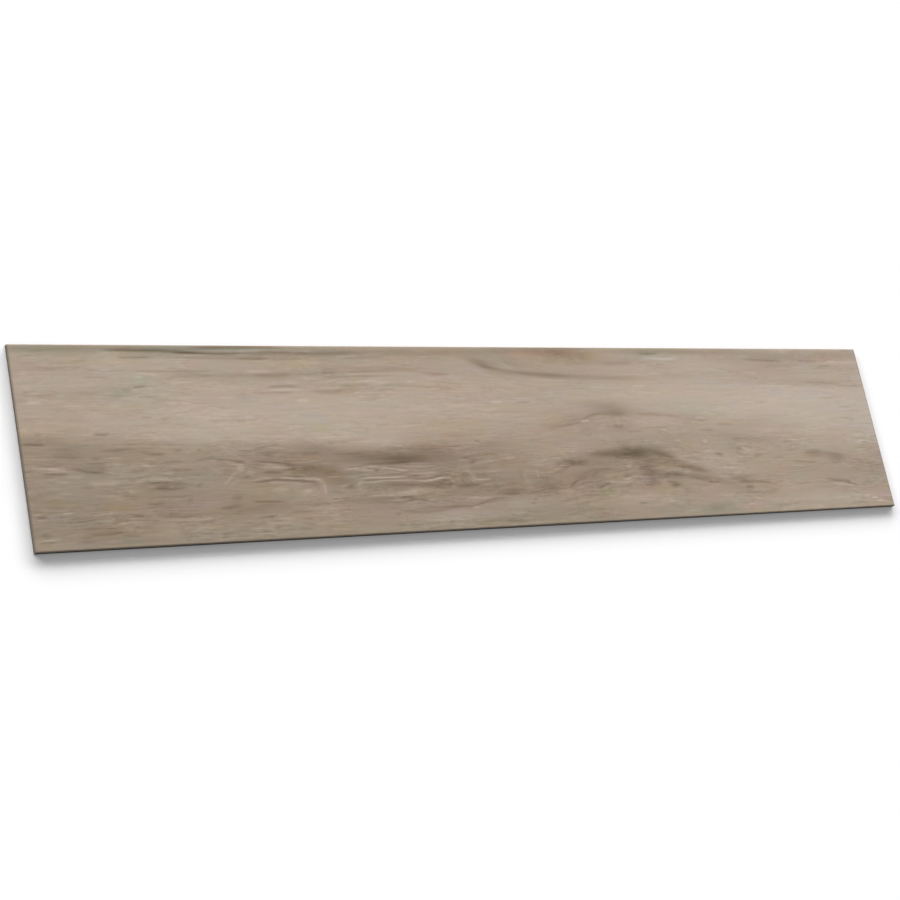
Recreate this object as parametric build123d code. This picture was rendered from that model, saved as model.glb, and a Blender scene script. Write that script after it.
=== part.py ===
from build123d import *
import os

# Wood-look vinyl floor tile in plank form: one slab of fused vinyl, printed face up.
# The origin is the middle of the back face, on the floor. X runs along the plank,
# which is also the way of the grain, Y across it, and Z up out of the walked-on face.

# Driving dimensions, in millimetres
length = 1219.2
width = 228.6
thickness = 5.0
bevel_width = 1.5      # painted micro-bevel, measured in from the edge on the face
bevel_depth = 0.45     # how far the bevel drops down the edge


def blank():
    """The die-cut slab, square on all four edges, standing on its back face."""
    return extrude(Rectangle(length, width), amount=thickness)


def with_micro_bevel(slab):
    """Pares the rim of the printed face down to the four edges, mitred at the corners."""
    face = slab.faces().sort_by(Axis.Z)[-1]
    return chamfer(face.edges(), bevel_width, bevel_depth, reference=face)


def floor_tile():
    """The finished tile in one piece, named as its node is."""
    tile = with_micro_bevel(blank())
    tile.label = "floor_tile"
    return tile


os.makedirs("parts", exist_ok=True)
export_step(floor_tile(), "parts/floor_tile.step")
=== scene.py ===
import math

import bpy
import numpy as np
from mathutils import Matrix, Vector


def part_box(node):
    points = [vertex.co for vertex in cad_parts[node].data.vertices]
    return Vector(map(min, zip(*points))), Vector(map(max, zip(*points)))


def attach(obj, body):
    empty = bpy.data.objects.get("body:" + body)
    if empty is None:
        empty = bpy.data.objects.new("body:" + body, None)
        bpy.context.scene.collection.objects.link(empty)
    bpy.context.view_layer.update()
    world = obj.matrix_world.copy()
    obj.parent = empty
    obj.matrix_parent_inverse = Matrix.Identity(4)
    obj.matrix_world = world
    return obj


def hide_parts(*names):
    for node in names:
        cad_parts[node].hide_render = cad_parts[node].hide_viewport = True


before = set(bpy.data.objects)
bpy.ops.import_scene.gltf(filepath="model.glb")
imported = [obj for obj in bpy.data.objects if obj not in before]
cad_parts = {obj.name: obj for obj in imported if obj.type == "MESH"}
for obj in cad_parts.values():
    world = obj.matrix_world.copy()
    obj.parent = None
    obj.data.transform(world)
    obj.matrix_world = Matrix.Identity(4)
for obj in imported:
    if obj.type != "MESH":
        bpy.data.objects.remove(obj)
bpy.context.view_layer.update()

# Sizes of the plank, in metres: the outside from the frame, the bevel as it is pared
mm = 0.001
plank_low, plank_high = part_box("floor_tile")
half_length = (plank_high.x - plank_low.x) / 2
half_width = (plank_high.y - plank_low.y) / 2
thickness = plank_high.z
bevel_width = 1.5 * mm
bevel_depth = 0.45 * mm

# How finely the sheet is divided: steps are closer where the figure of the wood lies
face_columns = 412
face_rows = 238
bevel_steps = 3
back_rows = 2

# Where the figure begins and ends along and across, how much closer the steps are there, and
# the length over which they close up
figure_along = (-0.475, 0.340, 0.25)
figure_across = (-0.095, 0.022, 0.50)
figure_border = 20 * mm

# The embossing that is pressed into the wear layer: its depth, and how far it fades out
# before the bevel
emboss_depth = 0.11 * mm
emboss_fade = 2 * mm

# Edges that turn more sharply than this are shaded as edges
sharp_turn = math.radians(35)

# The print is laid out in millimetres from the middle of the face, x along the grain and y
# across it. Tone runs from 0, the darkest brown of the print, to 1, its palest greige. Its
# parts are listed one by one.

# Growth hills bend the grain round what once grew there: middle, reach along and across, and
# how far the hill lifts the grain
growth_hills = [
    (190, -50, 140, 30, 18), (-160, -54, 66, 11, 9), (-76, -55, 14, 11, 8), (-384, -40, 20, 15, 4),
    (-352, -32, 12, 7, 6), (-262, -54, 14, 11, 6), (-450, -46, 34, 9, 7), (20, -50, 9, 11, 3),
    (303, -14, 9, 6, 3), (357, -26, 12, 7, 5), (-587, 8, 9, 5, 5), (165, 12, 70, 15, 12),
    (-150, 80, 150, 26, 8), (-300, 62, 40, 10, 4), (520, -46, 70, 14, 8), (460, 98, 80, 16, -4),
    (520, -84, 60, 12, 6),
]

# Smudges are soft patches of stain: middle, reach along and across, rise per millimetre
# along, and the change of tone
smudges = [
    (-560, 109, 80, 5, 0.0, -0.26), (-475, 110, 60, 4, 0.0, -0.06), (-440, 103, 40, 5, 0.0, -0.08),
    (-385, 110, 90, 4.0, 0.0, -0.25), (-330, 103, 110, 6, 0.0, -0.20), (-180, 106, 90, 6, 0.0, -0.26),
    (-60, 107, 60, 6, 0.0, -0.15), (30, 109, 60, 5, 0.0, -0.20), (105, 107, 48, 9, -0.05, -0.37),
    (195, 95, 50, 7, 0.0, -0.10), (240, 109, 60, 4, 0.0, -0.26), (340, 109, 80, 4, 0.0, -0.20),
    (460, 103, 130, 8, 0.0, -0.18), (590, 106, 60, 7, 0.0, -0.16), (-540, 86, 70, 12, 0.0, -0.06),
    (-330, 77, 90, 5, 0.02, -0.10), (-190, 84, 80, 7, 0.02, -0.12), (-90, 82, 40, 4, -0.06, -0.08),
    (-480, 63, 34, 7, 0.12, -0.08), (-494, 56, 9, 4, 0.1, -0.08), (-590, 60, 30, 5, 0.0, -0.03),
    (-430, 98, 60, 10, 0.0, 0.05), (70, 77.5, 62, 4.5, -0.06, -0.20), (165, 74, 70, 4.5, -0.02, -0.12),
    (-18, 92.5, 20, 7, -0.36, -0.24), (30, 92, 40, 8, -0.12, -0.10), (520, 66, 110, 6, -0.02, -0.16),
    (330, 76, 120, 6, 0.0, -0.07), (450, 86, 90, 12, 0.0, -0.14), (590, 84, 50, 9, 0.0, -0.12),
    (440, 38, 170, 20, 0.0, 0.05), (230, 52, 90, 12, 0.0, 0.05), (-250, 36, 120, 18, 0.0, 0.04),
    (-400, 30, 70, 12, 0.0, 0.04), (-70, 18, 50, 8, 0.0, -0.05), (60, 60, 80, 12, 0.0, -0.02),
    (162, 31, 30, 8, 0.0, -0.23), (171, 25, 16, 4.5, 0.0, -0.16), (135, 38, 28, 5, 0.0, -0.10),
    (108, 17, 34, 5, 0.16, -0.14), (235, 24, 44, 4, -0.04, -0.10), (290, 16, 30, 8, 0.0, -0.10),
    (172, 7, 16, 7, 0.0, -0.12), (220, 15, 40, 5, 0.0, 0.05), (400, 12, 60, 10, 0.1, -0.08),
    (-590, 6, 30, 6, 0.0, -0.16), (-562, -8, 16, 12, 0.0, -0.08), (-532, -26, 24, 6, -0.1, -0.13),
    (-558, -7, 10, 6, 0.0, -0.04), (-456, -49, 20, 4.5, 0.0, -0.26), (-380, -22, 60, 8, 0.0, 0.03),
    (-402, -47, 22, 13, 0.0, 0.05), (-322, -16, 40, 6, -0.04, -0.06), (-272, -15, 24, 5, 0.0, -0.05),
    (-278, -35, 32, 8, -0.03, -0.24), (-240, -50, 16, 9, -0.3, -0.16), (-355, -78, 46, 6, 0.06, -0.11),
    (-550, 78, 75, 16, 0.0, 0.05), (-540, -28, 75, 18, 0.0, 0.06), (-390, 3, 50, 18, 0.0, 0.07),
    (-330, -12, 90, 8, 0.0, 0.05), (-238, -28, 28, 14, 0.0, 0.06), (-240, -70, 30, 12, 0.0, 0.05),
    (-265, 66, 60, 12, 0.0, -0.05), (-90, 3, 60, 9, 0.0, -0.06), (60, -10, 50, 9, 0.0, -0.05),
    (312, -30, 40, 18, 0.0, 0.06), (-90, -97, 50, 10, 0.0, 0.06), (160, -88, 50, 12, 0.0, 0.06),
    (300, -108, 40, 6, 0.0, -0.10), (-480, -106, 70, 6, 0.0, -0.06), (35, 98, 50, 9, 0.0, -0.05),
    (208, -41, 26, 8, 0.0, -0.12), (232, -60, 40, 8, 0.0, -0.07), (112, -68, 20, 10, 0.0, -0.05),
    (10, -56, 20, 14, 0.0, 0.04), (-590, -106, 24, 6, 0.0, 0.10), (360, -104, 30, 6, 0.0, 0.04),
    (312, -46, 24, 8, 0.0, 0.03), (560, -46, 24, 8, 0.0, 0.04), (365, -52, 20, 8, 0.0, 0.04),
    (160, -82, 24, 10, 0.0, 0.04), (500, 80, 80, 14, 0.0, -0.03), (480, -22, 60, 14, 0.0, 0.03),
    (385, -76, 40, 8, 0.0, -0.05), (-40, 34, 60, 14, 0.0, 0.03), (-130, -27, 12, 4.5, 0.0, -0.10),
    (-430, -88, 50, 8, 0.0, 0.07), (-455, -104, 30, 8, 0.0, 0.10), (-400, -98, 24, 7, 0.0, 0.08),
    (-532, -96, 30, 5, 0.0, -0.12), (-330, -54, 44, 7, 0.0, 0.10), (-285, -64, 40, 9, 0.0, 0.12),
    (-250, -90, 80, 12, 0.0, 0.08), (-318, -92, 12, 5, 0.0, 0.08), (-274, -76.5, 11, 3.2, 0.0, -0.12),
    (-455, -96, 16, 11, 0.0, 0.06), (300, -102, 14, 5, 0.0, -0.12), (192, -84, 15, 5, 0.0, 0.08),
    (-148, -25, 36, 6.2, 0.0, -0.26), (-160, -26.8, 19, 4.2, 0.0, -0.12),
    (-205, -22, 46, 7, -0.05, -0.20), (-108, -15, 24, 6, -0.1, -0.16), (-100, -28, 26, 9, 0.0, -0.12),
    (-165, -58, 46, 4, 0.0, -0.13), (-111, -57.6, 18, 4.6, 0.1, -0.25), (-73, -50, 5, 4, 0.0, -0.14),
    (-160, -67, 30, 3.2, 0.06, 0.07), (-180, -74, 50, 4, 0.0, -0.10), (-68, -60.5, 16, 4, 0.0, -0.10),
    (-40, -70, 40, 8, 0.0, -0.06), (-100, -86, 50, 4, 0.05, -0.12), (-110, -98, 70, 10, 0.0, 0.10),
    (-60, -26, 26, 8, 0.0, -0.06), (-9, -70.5, 18, 4.6, 0.05, -0.17), (-8, -83, 14, 6, 0.0, 0.07),
    (46, -69.5, 18, 6, 0.0, -0.21), (20, -60, 50, 12, 0.0, -0.11), (0, -85, 60, 7, 0.0, 0.10),
    (-60, -106, 60, 4, 0.0, -0.10), (187, -26.5, 30, 7.6, 0.0, -0.55), (172, -19, 8, 4, 0.0, -0.16),
    (136, -27, 26, 5.2, 0.0, -0.28), (92, -36.5, 24, 5.4, 0.0, -0.20), (232, -31, 18, 5, -0.28, -0.26),
    (201, -51, 15, 14, -0.1, -0.24), (145, -46, 50, 12, 0.0, -0.09), (262, -46, 34, 7, -0.28, -0.14),
    (288, -52, 20, 5, -0.24, -0.08), (240, -57, 20, 4.5, -0.05, -0.24), (246, -44, 30, 5, -0.14, -0.14),
    (300, -66, 34, 4, -0.20, -0.24), (350, -66.5, 26, 4.4, -0.06, -0.20),
    (240, -71.5, 9, 3.0, 0.0, -0.42), (150, -76, 40, 7, 0.0, -0.06), (180, -88, 50, 8, 0.0, 0.06),
    (352, -82, 30, 5, -0.10, -0.10), (370, -12, 40, 6, -0.12, -0.12), (420, -15, 50, 6, 0.0, -0.08),
    (355, -25, 14, 7, 0.0, -0.10), (486, -36, 17, 5.5, 0.0, -0.22), (524, -42, 17, 6, -0.10, -0.26),
    (545, -62, 50, 9, 0.0, -0.03), (490, -58, 60, 8, 0.0, -0.05), (590, -56, 40, 14, 0.0, -0.10),
    (525, -80, 30, 3.5, -0.15, -0.05), (560, -82, 24, 4, 0.0, -0.10), (500, -98, 90, 9, 0.0, 0.08),
    (-575, -44, 40, 8, 0.0, 0.04), (120, 6, 110, 24, 0.0, -0.14), (-70, -10, 60, 11, 0.0, -0.10),
    (-250, 92, 200, 16, 0.0, -0.07), (110, 92, 46, 12, 0.0, -0.13), (470, 100, 120, 10, 0.0, -0.09),
    (110, -62, 30, 10, 0.0, -0.09), (-95, -60, 30, 9, 0.0, -0.09), (160, -32, 30, 8, 0.0, -0.10),
    (-500, -82, 90, 12, 0.0, -0.06), (325, -44, 40, 9, 0.0, 0.07), (-190, -108, 110, 6, 0.0, 0.07),
    (-490, 88, 30, 10, 0.0, 0.07), (260, 90, 30, 8, 0.0, -0.05), (-590, 68, 20, 14, 0.0, 0.04),
    (560, 62, 30, 8, 0.0, -0.04), (190, 20, 34, 9, 0.0, -0.05), (-340, 1, 30, 7, 0.0, -0.05),
    (-140, 2, 30, 7, 0.0, -0.04), (-490, -6, 34, 18, 0.0, -0.03), (-440, -22, 44, 16, 0.0, 0.06),
    (-485, -42, 34, 8, 0.0, 0.03), (160, -14, 30, 6, 0.0, -0.04), (-290, -45, 24, 7, 0.0, -0.04),
    (264, -60, 20, 5, -0.1, -0.05), (-290, -97, 50, 12, 0.0, 0.07), (-90, -97, 40, 10, 0.0, 0.04),
    (485, -96, 60, 10, 0.0, 0.04), (-535, 57, 22, 6, 0.25, -0.09), (-14, 90, 14, 5, -0.35, -0.06),
    (-205, 59, 44, 6, 0.0, -0.06), (-132, -71, 14, 4, 0.0, -0.06), (-404, -71, 12, 4, 0.0, 0.06),
    (75, -100, 18, 5, 0.0, -0.06), (230, -21, 14, 3, -0.05, -0.08), (-455, 68, 24, 10, 0.0, 0.04),
    (130, -80, 14, 6, 0.0, 0.06), (-138, -15, 26, 6, 0.0, -0.11), (-252, -38, 12, 6, 0.0, -0.08),
    (-590, -76, 20, 9, 0.0, -0.04), (96, -37, 20, 4, 0.0, -0.06), (8, 96, 26, 9, 0.0, -0.05),
    (-90, 98, 36, 10, 0.0, -0.05), (-262, -33, 16, 4.5, 0.0, -0.04), (164, -38, 24, 7, 0.0, 0.05),
    (-238, -10, 20, 7, 0.0, 0.04),
]

# Figure lines are drawn with the grain: the points that the line passes, its half width and
# the change of tone. A dark line often has a pale one beside it, its lip.
figure_lines = [
    ([(-502, 108.5), (-470, 108), (-435, 107.5), (-410, 106), (-386, 105.5)], 1.9, -0.42),
    ([(-424, 105.2), (-395, 104.6), (-365, 104.2), (-332, 104.8)], 1.2, -0.42),
    ([(-400, 111), (-350, 112), (-300, 112), (-280, 111)], 1.9, -0.34),
    ([(-388, 108.2), (-340, 108), (-296, 109.2)], 1.2, 0.16),
    ([(-336, 105), (-260, 105), (-190, 105.6)], 2.0, -0.20),
    ([(-344, 98.5), (-324, 98), (-306, 98.4)], 1.3, -0.24), ([(-412, 102.2), (-380, 102.6)], 1.0, 0.16),
    ([(-220, 100.2), (-205, 101.6), (-186, 102.4)], 1.1, 0.20),
    ([(-488, 99.8), (-468, 99.3), (-448, 99.8)], 1.0, -0.34),
    ([(-430, 100), (-340, 98), (-250, 98)], 1.2, -0.10),
    ([(-480, 84), (-430, 83), (-375, 84)], 1.3, -0.16), ([(-337, 83), (-305, 82.8)], 1.5, 0.18),
    ([(-412, 81.5), (-396, 79), (-378, 77.5)], 1.6, -0.16),
    ([(-326, 77.5), (-300, 77), (-280, 79.5)], 2.2, -0.17), ([(-242, 81), (-220, 81)], 1.0, -0.16),
    ([(-470, 81.5), (-452, 80.5), (-442, 77.5)], 1.0, 0.18), ([(-472, 76.5), (-461, 76.8)], 0.9, 0.22),
    ([(-530, 76), (-515, 76.5), (-500, 75.5)], 1.0, -0.18), ([(-526, 85), (-508, 85)], 1.0, -0.14),
    ([(-500, 84), (-478, 85.5)], 1.8, -0.10), ([(-586, 87.5), (-548, 88)], 1.2, -0.10),
    ([(-590, 56.3), (-560, 56.8)], 1.1, -0.14), ([(-592, 58.6), (-582, 58.6)], 1.1, 0.18),
    ([(-596, 48.5), (-581, 49)], 1.1, 0.18), ([(-472, 53.5), (-448, 53.4)], 1.1, -0.19),
    ([(-453, 51.3), (-434, 51)], 1.2, -0.12), ([(-289, 69), (-274, 68.6)], 1.0, 0.12),
    ([(-266, 74), (-250, 74.6), (-234, 75.8)], 0.9, 0.13), ([(-378, 51.6), (-353, 51.8)], 1.0, 0.16),
    ([(-350, 56), (-340, 55.6)], 1.6, -0.14), ([(166, 92.5), (190, 93), (214, 93)], 2.4, -0.13),
    ([(206, 62), (226, 62.2)], 0.9, 0.20), ([(234, 79.4), (256, 79.4)], 0.9, 0.12),
    ([(-420, 78), (-340, 78), (-260, 80), (-200, 82), (-140, 84), (-105, 84)], 2.0, -0.08),
    ([(-105, 80), (-65, 78)], 1.8, -0.16), ([(-254, 58.6), (-232, 57.6), (-211, 58.6)], 2.8, -0.19),
    ([(-248, 62.5), (-222, 62.5)], 2.0, 0.12), ([(-219, 65), (-200, 65.6), (-176, 65.6)], 2.2, -0.20),
    ([(-184, 66.5), (-140, 65), (-100, 63), (-56, 60)], 1.6, -0.12),
    ([(-216, 61), (-150, 60.5)], 2.0, -0.08), ([(-226, 69.6), (-200, 70.4), (-170, 70.8)], 1.0, 0.14),
    ([(-265, 75), (-210, 76), (-150, 77)], 1.3, -0.14),
    ([(-230, 79.5), (-160, 80), (-105, 80)], 1.1, 0.12), ([(-312, 60.5), (-265, 60.5)], 1.2, 0.18),
    ([(-314, 64), (-292, 65.3), (-274, 64.5)], 1.3, -0.24), ([(-334, 57), (-276, 57.6)], 1.6, -0.16),
    ([(-200, 90.5), (-165, 91.5), (-135, 90)], 1.1, 0.10), ([(-160, 86), (-110, 86)], 1.2, -0.10),
    ([(-39, 98), (-12, 88), (20, 81.8), (45, 79.3), (80, 77), (122, 75.5)], 2.9, -0.18),
    ([(120, 75), (165, 73.4), (215, 72)], 3.4, -0.05), ([(50, 72.5), (80, 70), (110, 70)], 1.2, 0.10),
    ([(170, 77.5), (210, 78), (260, 77)], 1.2, 0.08), ([(228, 106), (258, 106)], 1.5, -0.30),
    ([(240, 99.5), (290, 99)], 1.8, 0.16), ([(400, 98.6), (434, 97.4), (467, 95.8)], 1.2, -0.26),
    ([(498, 97), (535, 96)], 1.3, -0.16), ([(390, 103), (415, 102.5)], 1.2, 0.12),
    ([(534, 88.8), (554, 89)], 1.3, -0.24), ([(550, 94.5), (604, 95)], 1.4, 0.12),
    ([(440, 72), (470, 72)], 1.0, 0.10), ([(500, 66), (540, 64), (566, 62.6)], 1.9, -0.10),
    ([(437, 60.5), (475, 60)], 1.1, 0.12), ([(82, 10), (102, 13), (114, 14)], 1.3, -0.14),
    ([(118, 20), (133, 24.5), (146, 25.5)], 1.5, -0.19), ([(144, 25.5), (156, 24)], 1.4, -0.12),
    ([(203, 24.3), (218, 23.4), (231, 24.6)], 1.5, -0.16),
    ([(226, 23), (250, 20.8), (270, 20)], 1.1, -0.12),
    ([(112, 15.2), (119, 16.8), (126, 17.2)], 0.9, 0.50), ([(130, 19), (150, 22.5)], 1.2, 0.10),
    ([(162, 8.8), (177, 8.2)], 1.8, -0.18), ([(298, 14.5), (317, 14)], 1.3, -0.10),
    ([(296, 17.6), (313, 17)], 1.0, 0.14), ([(182, 1), (205, 1.6)], 1.4, -0.16),
    ([(302, 1), (322, 0)], 1.6, -0.14), ([(208, 5.5), (255, 6)], 1.2, -0.12),
    ([(-609, 2.5), (-582, 1.5)], 1.3, -0.34), ([(-592, 12), (-584, 14)], 1.6, -0.12),
    ([(-596, -24.2), (-576, -25.6), (-556, -29.5)], 1.6, 0.20),
    ([(-556, -25), (-540, -30), (-518, -31)], 1.3, -0.26),
    ([(-593, -29), (-577, -31), (-562, -31.6)], 1.3, -0.20),
    ([(-567, -33.6), (-546, -35.6)], 1.5, 0.12), ([(-545, -43), (-520, -42), (-498, -41.5)], 2.2, 0.18),
    ([(-480, -36.5), (-430, -36.5)], 1.0, -0.16), ([(-478, -33), (-440, -33)], 1.0, 0.12),
    ([(-482, -39.5), (-445, -40)], 1.0, 0.14), ([(-478, -43.5), (-455, -44), (-428, -46)], 1.2, -0.20),
    ([(-470, -50), (-445, -52), (-430, -50)], 1.2, -0.16), ([(-515, -60.5), (-492, -61)], 1.0, 0.16),
    ([(-508, -58), (-478, -59)], 1.0, -0.12), ([(-465, -61), (-425, -60)], 1.2, -0.14),
    ([(-480, -67), (-458, -68)], 1.3, -0.16), ([(-505, 1), (-470, -0.5), (-420, -2)], 1.0, -0.12),
    ([(-512, -7), (-480, -5)], 1.2, -0.10), ([(-433, -68), (-426, -62)], 2.2, -0.15),
    ([(-419, -52), (-410, -43.5)], 2.0, -0.16), ([(-258, -44.5), (-240, -44)], 1.0, 0.24),
    ([(-414, -20.4), (-401, -18), (-386, -19.4)], 1.1, -0.17),
    ([(-392, -19.5), (-372, -21.5), (-352, -25.5)], 1.1, -0.32),
    ([(-446, -30.5), (-420, -30.5)], 1.4, -0.20), ([(-402, -28), (-392, -32), (-385, -38)], 1.6, 0.10),
    ([(-387, -50), (-377, -42.5), (-369, -32.5)], 1.7, 0.20), ([(-380, -51), (-365, -43)], 1.8, 0.10),
    ([(-384, -31), (-374, -33)], 3.4, -0.10),
    ([(-346, -22.5), (-328, -24.5), (-312, -26), (-296, -28.5)], 1.3, -0.30),
    ([(-340, -29.5), (-322, -30), (-304, -32)], 2.2, 0.26), ([(-338, -36.5), (-312, -37)], 1.9, -0.22),
    ([(-312, -34.5), (-294, -33)], 1.5, -0.18),
    ([(-352, -46), (-342, -43.2), (-326, -43.4)], 1.1, 0.24),
    ([(-318, -43.2), (-296, -44.4)], 1.2, 0.28),
    ([(-302, -44.8), (-280, -45.4), (-264, -47)], 1.3, 0.36),
    ([(-354, -47.4), (-340, -47), (-326, -45.2), (-300, -46.6), (-284, -48.4), (-272, -50.4)], 1.1, -0.36),
    ([(-332, -48.4), (-308, -49.4), (-286, -52)], 1.0, 0.18), ([(-328, -57), (-308, -57)], 1.9, 0.14),
    ([(-289, -59), (-279, -60)], 2.6, 0.16), ([(-355, -69.6), (-338, -70.2), (-316, -71)], 1.1, -0.30),
    ([(-354, -89), (-340, -87.6), (-328, -87)], 1.2, -0.16),
    ([(-334, -98), (-320, -98.6), (-310, -99.6)], 1.2, -0.22),
    ([(-298, -91), (-282, -92.6)], 1.1, -0.18), ([(-300, -96.4), (-280, -99.2)], 1.1, -0.20),
    ([(-305, -103), (-284, -104)], 1.1, -0.18), ([(-310, -83.6), (-284, -83.6)], 1.0, -0.14),
    ([(96, -91), (122, -91.4)], 1.0, 0.14), ([(114, -98.6), (138, -98.4)], 1.0, -0.12),
    ([(-397, -76), (-384, -74.5), (-368, -73)], 1.9, -0.18), ([(-380, -65), (-366, -64)], 3.2, -0.17),
    ([(-361, -40.5), (-354, -41.5)], 1.6, -0.22), ([(-453, -49), (-445, -49)], 1.4, 0.20),
    ([(-476, -48), (-466, -48)], 1.4, 0.14), ([(-208, -30.5), (-180, -30.5), (-138, -29)], 1.3, -0.20),
    ([(-234, -35.2), (-214, -36), (-200, -38.4), (-190, -41.5)], 1.3, 0.24),
    ([(-202, -33), (-176, -36), (-160, -38.6), (-148, -41.5)], 1.3, 0.26),
    ([(-147, -34), (-128, -36.5), (-110, -35)], 1.1, 0.18), ([(-148, -31.6), (-118, -32.4)], 0.9, 0.18),
    ([(-195, -38), (-188, -38)], 1.5, -0.24), ([(-198, -44.6), (-148, -44.4)], 1.2, -0.16),
    ([(-140, -43.5), (-128, -44), (-112, -43)], 1.0, 0.14),
    ([(-214, -47), (-200, -46.8), (-184, -47.4), (-153, -47.4)], 0.9, 0.36),
    ([(-154, -47.6), (-134, -46.4)], 0.9, -0.24), ([(-212, -50), (-188, -49.6)], 0.8, -0.24),
    ([(-190, -49.6), (-150, -49.9)], 0.8, -0.20),
    ([(-213, -52.8), (-195, -52.4), (-187, -50.9), (-160, -51.3), (-142, -52.4)], 0.9, 0.32),
    ([(-146, -51), (-135, -53.2), (-122, -53.4), (-112, -51.2), (-101, -49.6), (-94, -50.4)], 1.2, 0.44),
    ([(-150, -49.4), (-138, -51), (-124, -51), (-112, -48.6), (-104, -47.4)], 0.9, -0.30),
    ([(-186, -54), (-160, -56), (-142, -58)], 2.2, -0.12), ([(-150, -57), (-122, -58)], 2.2, -0.14),
    ([(-110, -46), (-92, -47), (-86, -49)], 1.2, -0.16),
    ([(-210, -68.5), (-186, -68), (-172, -69.5)], 1.1, 0.22),
    ([(-176, -67.5), (-150, -64.8), (-126, -64)], 1.9, 0.16),
    ([(-234, -72), (-205, -73), (-178, -72)], 1.2, -0.08), ([(-166, -72), (-149, -71.6)], 1.1, -0.36),
    ([(-182, -75), (-160, -75.3)], 0.9, 0.24),
    ([(-210, -76.5), (-170, -77.5), (-140, -74.5)], 1.1, -0.12),
    ([(-142, -75), (-127, -78.5), (-117, -81.5)], 1.2, -0.19),
    ([(-166, -88), (-148, -91), (-126, -91.4), (-104, -88.5)], 1.6, -0.16),
    ([(-112, -87), (-92, -86), (-70, -87), (-54, -82.5), (-34, -79)], 1.1, -0.20),
    ([(-70, -88), (-62, -88)], 1.3, 0.22),
    ([(-94, -58.5), (-84, -60), (-76, -62.4), (-64, -61), (-48, -58), (-24, -55.6)], 2.1, -0.15),
    ([(-60, -48), (-37, -49)], 2.6, -0.15), ([(-66, -54), (-50, -54.6), (-34, -53)], 1.2, 0.20),
    ([(-61.5, -32.8), (-55, -32.8)], 1.5, -0.34), ([(-78, -29), (-64, -30)], 1.2, 0.16),
    ([(-74, -26.4), (-62, -26.4)], 1.0, -0.22), ([(-84, -80), (-72, -78), (-60, -75)], 1.1, 0.14),
    ([(-242, -56.5), (-228, -53)], 1.6, 0.08), ([(-233, -58), (-225, -54.5)], 2.2, -0.16),
    ([(-80, -74), (-60, -77), (-45, -76)], 1.2, 0.12),
    ([(-60, -34), (-38, -33.4), (-18, -29)], 1.1, 0.16),
    ([(-64, -45.4), (-40, -45.8), (-18, -43)], 1.2, 0.13),
    ([(-60, -65), (-40, -62), (-5, -63)], 1.2, -0.10), ([(-90, -8), (-40, -8)], 1.0, 0.12),
    ([(-50, -6), (-42, -6.5)], 1.0, -0.24), ([(58, -49), (70, -46), (82, -42)], 2.4, -0.17),
    ([(112, -24), (126, -22.5)], 1.2, 0.12), ([(74, -71), (78, -65), (90, -60)], 1.7, -0.24),
    ([(88, -60), (100, -57.5), (106, -54)], 2.0, -0.13),
    ([(-24, -73), (-12, -74), (2, -73)], 1.3, -0.22),
    ([(0, -74.6), (30, -74), (62, -74.6)], 1.3, -0.10), ([(-20, -60.2), (-2, -60.6)], 0.9, -0.16),
    ([(84, -58), (100, -52), (118, -47), (150, -46)], 2.4, -0.12),
    ([(119, -72), (127, -67.5), (138, -65)], 1.6, -0.20),
    ([(128, -63), (150, -64.5), (174, -66)], 1.0, 0.16), ([(156, -60), (172, -61.5)], 1.0, 0.22),
    ([(128, -57), (142, -54.5), (158, -56)], 2.4, 0.14), ([(160, -57.5), (174, -56)], 1.5, -0.16),
    ([(166, -44), (176, -45)], 1.5, 0.22), ([(160, -70), (176, -66), (180, -70)], 1.3, -0.10),
    ([(225, -66.5), (242, -67.5)], 1.1, -0.24), ([(210, -27), (226, -29.5), (245, -34.5)], 3.0, -0.08),
    ([(248, -46), (272, -50), (298, -54.5)], 2.8, -0.17),
    ([(222, -52), (248, -52.4), (272, -55)], 1.1, 0.17),
    ([(262, -60), (276, -64), (292, -68)], 1.8, -0.16),
    ([(70, -30), (80, -34.5), (90, -36)], 3.0, -0.12),
    ([(111, -60), (115, -53), (124, -48)], 2.6, -0.12), ([(293, -69), (312, -70.5)], 0.9, -0.34),
    ([(248, -35.5), (262, -35)], 0.9, 0.26), ([(254, -12), (264, -12.5)], 1.0, 0.22),
    ([(354, -78.6), (368, -78.6)], 2.8, -0.29),
    ([(338, -70.4), (358, -71), (382, -72), (408, -76)], 1.7, -0.26),
    ([(344, -86), (378, -86.4), (410, -86.4)], 1.4, -0.12), ([(316, -31), (328, -34)], 1.8, -0.36),
    ([(353, -20), (368, -20.5)], 1.0, 0.24), ([(354, -24), (359, -25), (363, -30)], 2.4, -0.24),
    ([(379, -36.4), (396, -35.2)], 2.0, -0.24), ([(386, -28.6), (404, -28)], 1.2, -0.12),
    ([(412, -41), (432, -39)], 1.0, -0.16), ([(446, -45.5), (470, -47), (488, -48.5)], 1.2, -0.22),
    ([(455, -44), (478, -45)], 0.9, 0.12), ([(440, -51), (465, -52.5)], 0.9, 0.16),
    ([(436, -53), (460, -54)], 0.9, -0.10), ([(512, -49.6), (534, -49.6)], 1.2, -0.24),
    ([(496, -72), (515, -74.4), (536, -76)], 2.3, -0.27), ([(530, -76.4), (540, -76.6)], 1.6, -0.30),
    ([(500, -34.6), (520, -37), (542, -40)], 1.6, -0.16),
    ([(533, -78), (542, -79), (550, -83)], 1.6, -0.26),
    ([(506, -78), (522, -80), (546, -84)], 1.8, 0.20), ([(440, -77), (470, -76)], 1.2, -0.16),
    ([(362, -92), (378, -95)], 1.0, 0.18), ([(571, -101.2), (582, -101.2)], 1.0, 0.36),
    ([(578, -105), (592, -106), (604, -108.4)], 1.1, 0.34), ([(560, -36), (590, -37)], 1.2, 0.12),
    ([(-16, 43), (2, 43)], 1.2, 0.26), ([(20, 42), (42, 42)], 0.9, -0.22),
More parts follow.
